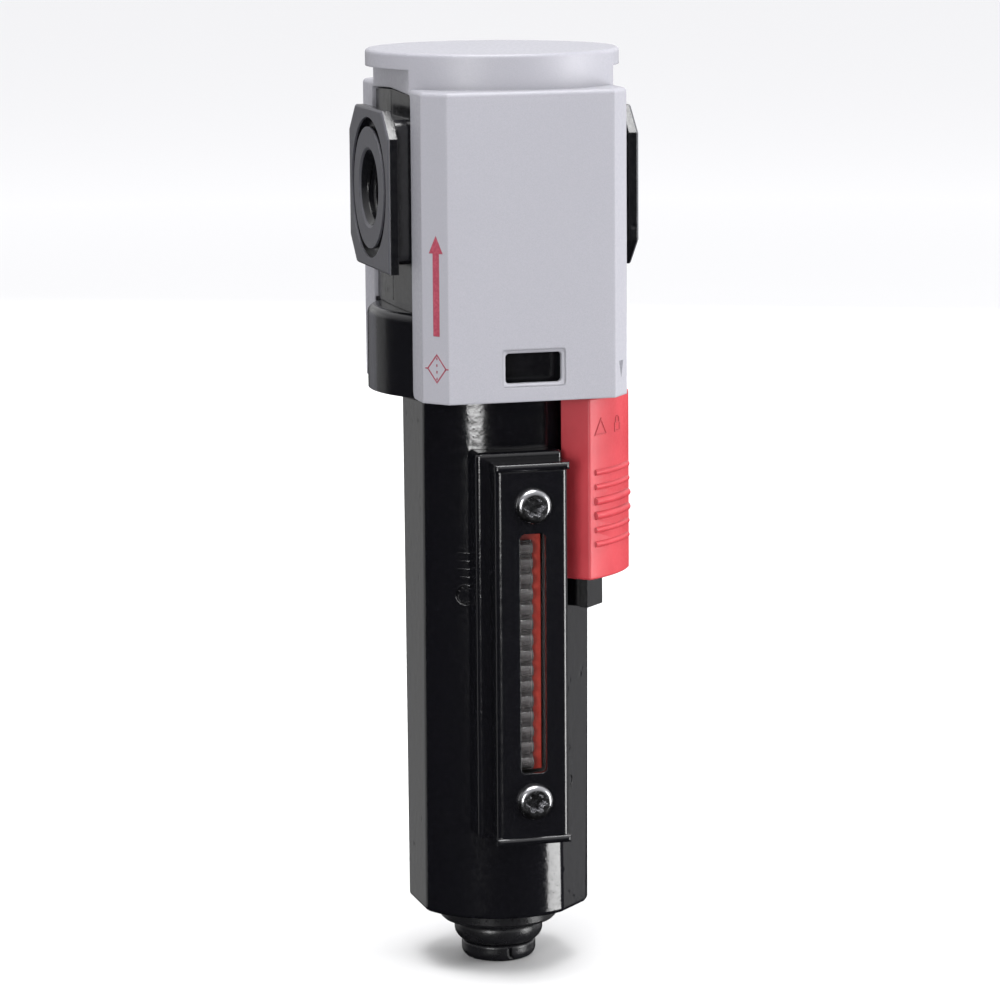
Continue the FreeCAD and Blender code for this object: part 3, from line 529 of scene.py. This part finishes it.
def tidy_normals(data):
    """Merge doubled points and turn every face outwards."""
    mesh = bmesh.new()
    mesh.from_mesh(data)
    bmesh.ops.remove_doubles(mesh, verts=mesh.verts, dist=1e-7)
    bmesh.ops.recalc_face_normals(mesh, faces=mesh.faces)
    mesh.to_mesh(data)
    mesh.free()


# ---------------------------------------------------------------- pieces of detail
def shroud_marks(red, dark):
    """Generic marks on the shroud's bevels: a printed flow arrow and filter symbol, and a thin dark sheet
    that paints the shade in the recessed alignment triangle.
    """
    across = (BEVEL_FRONT - BEVEL_SIDE).normalized()
    outward = Vector((across.y, -across.x, 0))
    middle = (BEVEL_SIDE + BEVEL_FRONT) / 2
    place = on_plane(middle + across * 0.4 * MM, across, UP, outward)
    centre = -47.5 * MM
    half = 3.1 * MM
    diamond = [(0, centre + half * 1.25), (half, centre), (0, centre - half * 1.25), (-half, centre)]
    thin, ink = 0.55 * MM, 0.02 * MM
    shapes = [stroke(diamond, thin, ink, place, closed=True)]
    for dash in (-0.85, -0.3, 0.25, 0.8):
        foot = centre + dash * half * 1.1
        shapes.append(stroke([(0, foot - 0.28 * MM), (0, foot + 0.45 * MM)], thin, ink, place))
    shapes.append(stroke([(-half, centre), (-half - 0.9 * MM, centre)], thin, ink, place))
    shapes.append(stroke([(half, centre), (half + 0.9 * MM, centre)], thin, ink, place))
    foot, top = centre + 9.0 * MM, centre + 37.0 * MM
    bar, barb = 1.1 * MM, 2.4 * MM
    neck = top - 5 * MM
    arrow = [(-bar, foot), (bar, foot), (bar, neck), (barb, neck), (0, top), (-barb, neck), (-bar, neck)]
    shapes.append(patch(arrow, ink, place))
    build("shroud_marks", shapes, "head", red)

    # The alignment triangle is recessed in the moulding; the thin dark sheet below is painted shade standing
    # for that recess, not print.
    flip = Vector((-1, 1, 1))
    place = on_plane(middle * flip, across * flip * -1, UP, outward * flip)
    level = -49.8 * MM
    triangle = [(-1.5 * MM, level + 2.4 * MM), (1.5 * MM, level + 2.4 * MM), (0, level - 2.4 * MM)]
    build("alignment_recess_shade", [patch(triangle, ink, place)], "head", dark)


def rounded_rectangle(centre, width, height, radius, count=6):
    """Corner points of a rectangle with rounded corners, anticlockwise."""
    points = []
    for turn, (across, up) in enumerate(((1, 1), (-1, 1), (-1, -1), (1, -1))):
        corner = (centre[0] + across * (width / 2 - radius), centre[1] + up * (height / 2 - radius))
        points += arc(corner, radius, 90 * turn, 90 * turn + 90, count)
    return points


def window_frame(material):
    """A sloping frame inside the window of the shroud."""
    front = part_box("shroud")[0].y
    wide, tall, inset = 18.16 * MM, 10.36 * MM, 0.95 * MM
    rings = ((0.0, 0.05 * MM, 0.5 * MM), (inset, 0.75 * MM, 1.1 * MM), (inset, 2.2 * MM, 1.1 * MM),
             (0.0, 2.2 * MM, 0.5 * MM))
    verts, faces = [], []
    for narrower, depth, radius in rings:
        outline = rounded_rectangle(WINDOW_CENTRE, wide - 2 * narrower, tall - 2 * narrower, radius)
        verts += [Vector((x, front + depth, z)) for x, z in outline]
    count = len(verts) // len(rings)
    for ring in range(len(rings)):
        a, b = ring * count, (ring + 1) % len(rings) * count
        faces += [(a + k, a + (k + 1) % count, b + (k + 1) % count, b + k) for k in range(count)]
    build("window_frame", [(verts, faces)], "head", material)


def thread_ridge(name, sign, material):
    """The port's thread: one helical ridge on the bore's wall."""
    crest, root = 8.85 * MM, PORT_BORE + 0.03 * MM
    start, length = -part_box("head_body")[0].x - 2.6 * MM, 13.0 * MM
    per_turn = 40
    total = per_turn * int(length / THREAD_PITCH) + 1
    verts, faces = [], []
    for n in range(total):
        angle = math.tau * n / per_turn
        middle = start - THREAD_PITCH * n / per_turn
        fade = min(1.0, n / per_turn, (total - 1 - n) / per_turn)
        top = PORT_BORE - (PORT_BORE - crest) * fade
        for radius, shift in ((root, -0.42), (top, -0.06), (top, 0.06), (root, 0.42)):
            along = sign * (middle + shift * THREAD_PITCH)
            verts.append(Vector((along, radius * math.cos(angle), radius * math.sin(angle))))
    for n in range(total - 1):
        a, b = 4 * n, 4 * (n + 1)
        faces += [(a + k, a + k + 1, b + k + 1, b + k) for k in range(3)]
        faces.append((a + 3, a, b, b + 3))
    faces += [(0, 1, 2, 3), tuple(4 * (total - 1) + k for k in (3, 2, 1, 0))]
    build(name, [(verts, faces)], "head", material)


def cast_marks(material):
    """Raised foundry marks on the bowl: a ticked ring with bars, and a ring with bars on the latch flat."""
    wide, proud = 0.60 * MM, 0.38 * MM
    place = on_column(BOWL_RADIUS, 34.0, -114.5 * MM)
    shapes = [stroke(arc((0, 0), 3.0 * MM, 0, 360, 36), wide, proud, place, closed=True)]
    for tick in range(12):
        turn = math.radians(30 * tick)
        line = [(reach * math.cos(turn), reach * math.sin(turn)) for reach in (2.0 * MM, 2.5 * MM)]
        shapes.append(stroke(line, 0.3 * MM, proud * 0.7, place))
    for bar in range(4):
        level = 5.2 * MM + bar * 2.3 * MM
        reach = (1.6, 2.4)[bar % 2] * MM
        shapes.append(stroke([(-reach, level), (reach, level)], wide, proud, place))
    build("cast_marks_left", shapes, "bowl_unit", material)

    outward = toward(LATCH_AZIMUTH, 0)
    across = Vector((-outward.y, outward.x, 0))
    origin = outward * LATCH_FLAT - across * 2.6 * MM - UP * 165 * MM
    place = on_plane(origin, across, UP, outward)
    shapes = [stroke(arc((0, -6 * MM), 1.7 * MM, 0, 360, 24), wide * 0.8, proud * 0.6, place, closed=True)]
    for bar in range(4):
        level = -1.5 * MM + bar * 2.6 * MM
        reach = (1.9, 1.1)[bar % 2] * MM
        shapes.append(stroke([(-reach, level), (reach, level)], wide, proud * 0.6, place))
    build("cast_marks_right", shapes, "bowl_unit", material)


def latch_marks(material):
    """Embossed lock signs on the latch's outer face: a triangle and a padlock."""
    level = -66.6 * MM
    thin, proud = 0.55 * MM, 0.22 * MM
    place = on_column(LATCH_FACE, -34.2, level)
    triangle = [(-2.5 * MM, -2.1 * MM), (2.5 * MM, -2.1 * MM), (0, 2.3 * MM)]
    shapes = [stroke(triangle, thin, proud, place, closed=True)]
    place = on_column(LATCH_FACE, -46.7, level)
    lock = [(-1.5 * MM, -2.0 * MM), (1.5 * MM, -2.0 * MM), (1.5 * MM, 0.3 * MM), (-1.5 * MM, 0.3 * MM)]
    shapes.append(stroke(lock, thin, proud, place, closed=True))
    bow = [(-0.95 * MM, 0.3 * MM), *arc((0, 1.3 * MM), 0.95 * MM, 180, 0, 10), (0.95 * MM, 0.5 * MM)]
    shapes.append(stroke(bow, thin * 0.8, proud, place))
    build("latch_marks", shapes, "latch_unit", material)


def valve_spring(material):
    """The drain's spring as its own piece riding on the valve; the real spring shortens against its roof as
    the valve lifts, but this copy keeps its length.
    """
    piece = bpy.data.objects.new("drain_coil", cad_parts["drain_spring"].data.copy())
    bpy.context.scene.collection.objects.link(piece)
    piece.data.materials.clear()
    piece.data.materials.append(material)
    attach(piece, "valve_unit")
    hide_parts("drain_spring")
    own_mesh(piece)


# ---------------------------------------------------------------- putting it together
make_camera()
make_world()
make_floor()
for light_row in SOFTBOXES:
    softbox(*light_row)
bpy.context.scene.view_settings.view_transform = "Standard"

paint = black_paint().material
red = red_plastic()
ink_red = ink_and_painted_shade("print_red", (0.20, 0.022, 0.042))
# A dark tint that is painted shade for the recessed alignment triangle.
recess_shade = ink_and_painted_shade("painted_recess_shade", (0.10, 0.10, 0.115))
drain_black = satin_black("drain_plastic", 0.007, 0.30, 1700)

shroud_grey = grey_plastic()
dress(shroud_grey, "shroud")
head_black = head_paint()
dress(head_black, "head_body")
dress(paint, "bowl")
dress(black_paint("cover_coat", 0.16, 0.35, False).material, "level_cover")
dress(plated("dark_chrome", 0.34, 0.22), "cover_screws")
dress(clear_glass(), "level_glass")
dress(red_strip(), "level_strip")
dress(red, "slide_latch")
dress(drain_black, "drain_body", "drain_knob", "drain_spout", "drain_nut")
dress(satin_black("vane_plastic", 0.03, 0.42), "swirl_vane", "baffle")
dress(rubber(), "upper_gasket", "lower_gasket", "bowl_seal", "glass_gasket", "drain_body_seal",
      "valve_seal")
dress(porous_plastic(), "filter_element")
dress(plated("zinc_steel", 0.62, 0.32, True), "element_post", "element_nut")
spring_steel = plated("spring_steel", 0.55, 0.25, True)
dress(spring_steel, "latch_detent_spring", "drain_spring", "knob_clip")
dress(pale_plastic(), "drain_valve")

valve_spring(spring_steel)
shroud_marks(ink_red, recess_shade)
window_frame(shroud_grey)
thread_ridge("inlet_thread", -1, head_black)
thread_ridge("outlet_thread", 1, head_black)
cast_marks(paint)
latch_marks(red)
